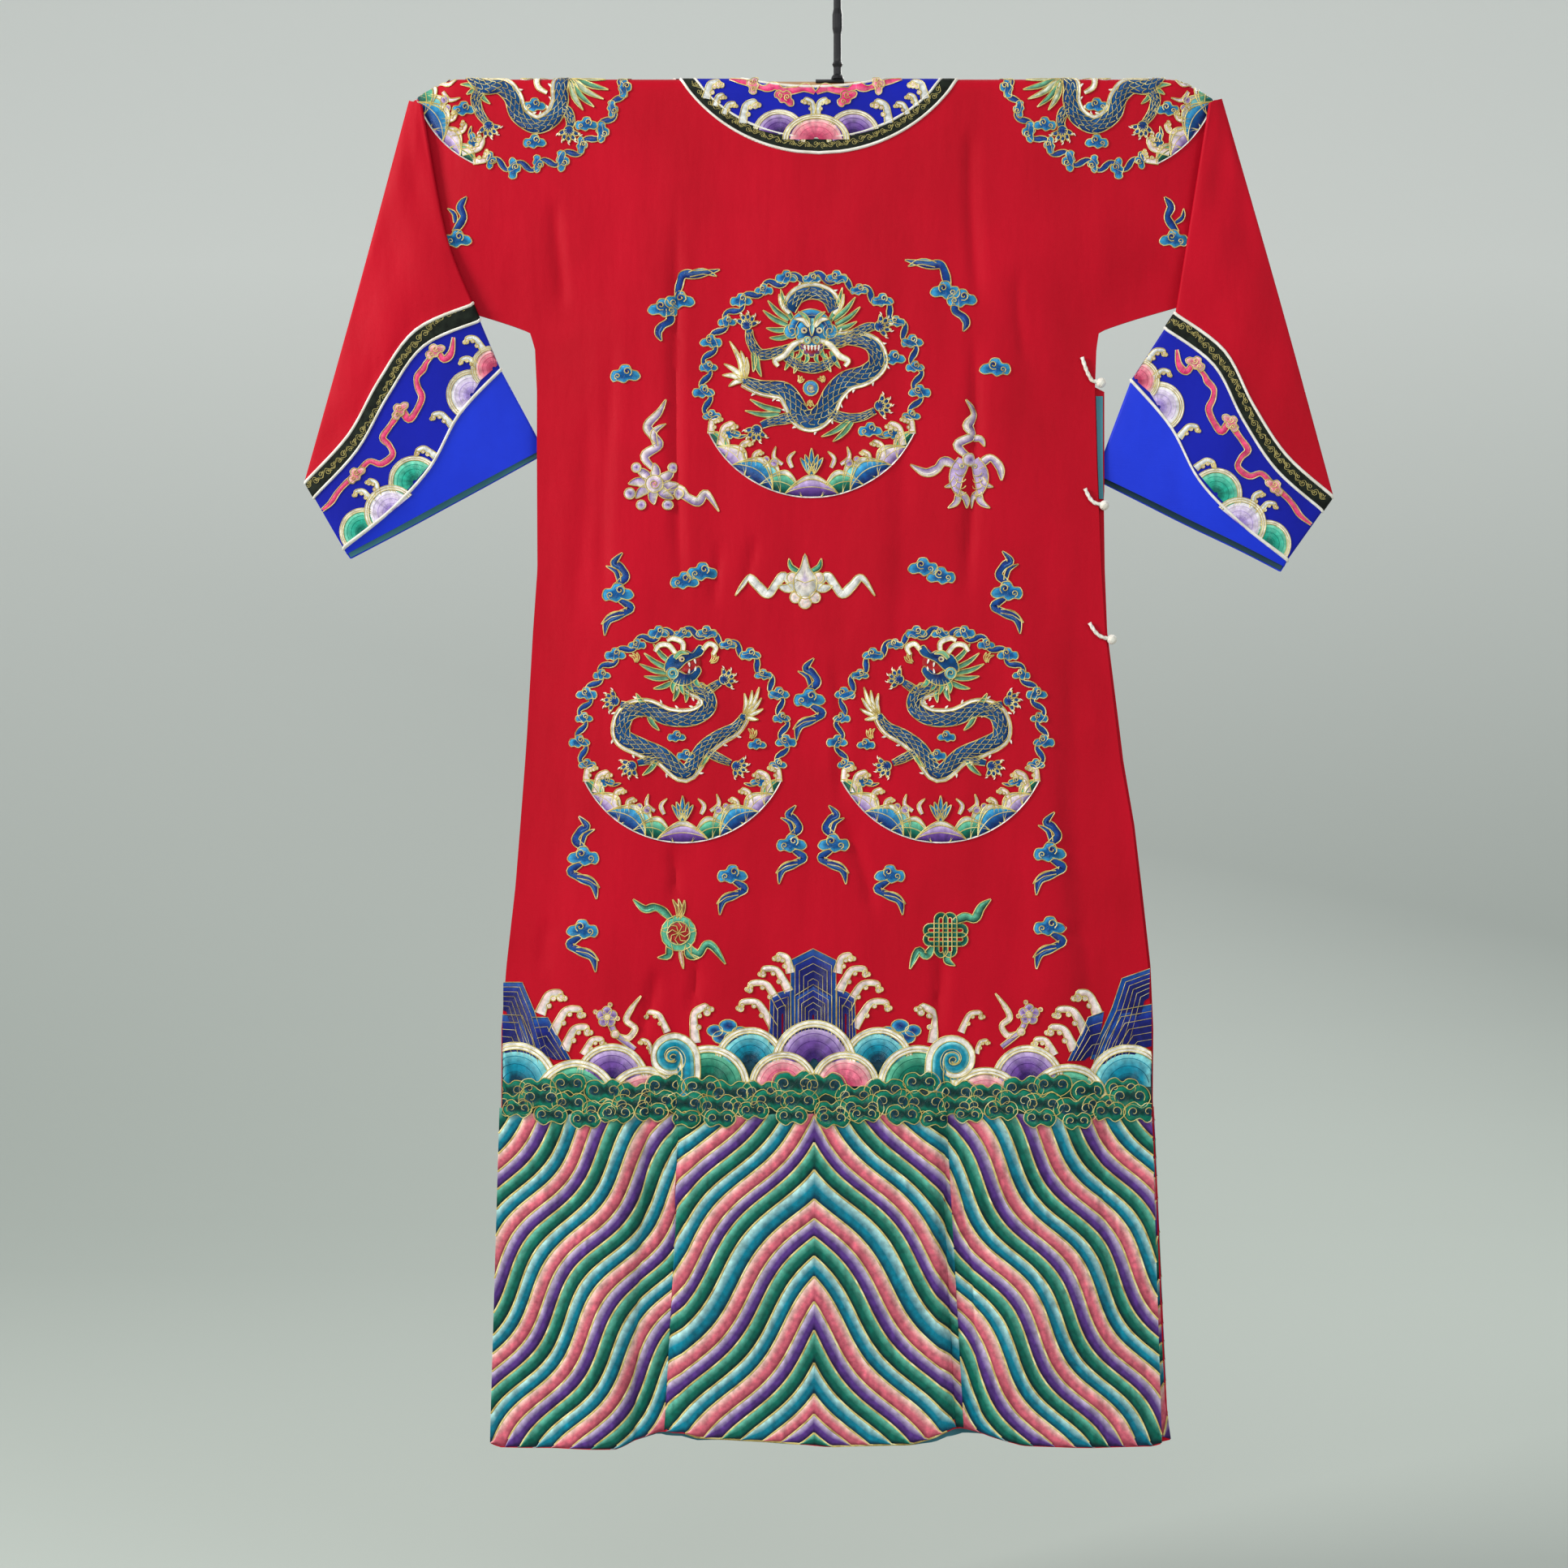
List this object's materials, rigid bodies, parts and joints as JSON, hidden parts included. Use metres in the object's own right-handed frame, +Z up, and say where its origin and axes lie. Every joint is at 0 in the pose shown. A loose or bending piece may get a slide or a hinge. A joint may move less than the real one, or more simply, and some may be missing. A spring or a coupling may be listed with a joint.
{
  "type": "chinese opera robe on a hanger",
  "caption": "Short-sleeved red silk stage robe with embroidered roundels, blue collar and cuff borders and a wave hem, hung flat from a bar hanger with a hook.",
  "frame": {"origin": "highest point inside the hook's crook, where the hanger hangs on a rod", "axes": "+Z up, +X to the robe's right-hand side (the side with the loops), the robe's back faces -Y and its overlapping front faces +Y"},
  "size_m": [1.0499, 0.039, 1.557],
  "materials": {
    "red_silk": "cherry red silk satin, densely embroidered",
    "royal_blue_silk": "royal blue silk satin",
    "white_cord": "white cotton piping and cord",
    "black_ribbon": "black woven ribbon with old-gold scrolls",
    "teal_lining": "plain teal silk lining",
    "varnished_wood": "clear varnish",
    "black_metal": "black enamel"
  },
  "bodies": {
    "root": {"back_panel": "red_silk", "cuff_edge_left": "royal_blue_silk", "cuff_edge_right": "royal_blue_silk", "cuff_left": "royal_blue_silk", "cuff_lining_left": "teal_lining", "cuff_lining_right": "teal_lining", "cuff_piping_inner_left": "white_cord", "cuff_piping_inner_right": "white_cord", "cuff_piping_lower_left": "white_cord", "cuff_piping_lower_right": "white_cord", "cuff_piping_upper_left": "white_cord", "cuff_piping_upper_right": "white_cord", "cuff_ribbon_left": "black_ribbon", "cuff_ribbon_right": "black_ribbon", "cuff_right": "royal_blue_silk", "front_overlap": "red_silk", "front_under_flap": "red_silk", "hanger_bar": "varnished_wood", "hanger_hook": "black_metal", "hanger_saddle": "black_metal", "hem_lining": "teal_lining", "knot_1": "white_cord", "knot_2": "white_cord", "knot_3": "white_cord", "loop_1": "white_cord", "loop_2": "white_cord", "loop_3": "white_cord", "neck_piping_back": "white_cord", "neck_piping_flap": "white_cord", "neck_piping_front": "white_cord", "side_lining": "teal_lining", "sleeve_left": "red_silk", "sleeve_right": "red_silk", "yoke_back": "royal_blue_silk", "yoke_flap": "royal_blue_silk", "yoke_front": "royal_blue_silk", "yoke_piping_inner_back": "white_cord", "yoke_piping_inner_flap": "white_cord", "yoke_piping_inner_front": "white_cord", "yoke_piping_outer_back": "white_cord", "yoke_piping_outer_flap": "white_cord", "yoke_piping_outer_front": "white_cord", "yoke_ribbon_back": "black_ribbon", "yoke_ribbon_flap": "black_ribbon", "yoke_ribbon_front": "black_ribbon"}
  },
  "joints": []
}
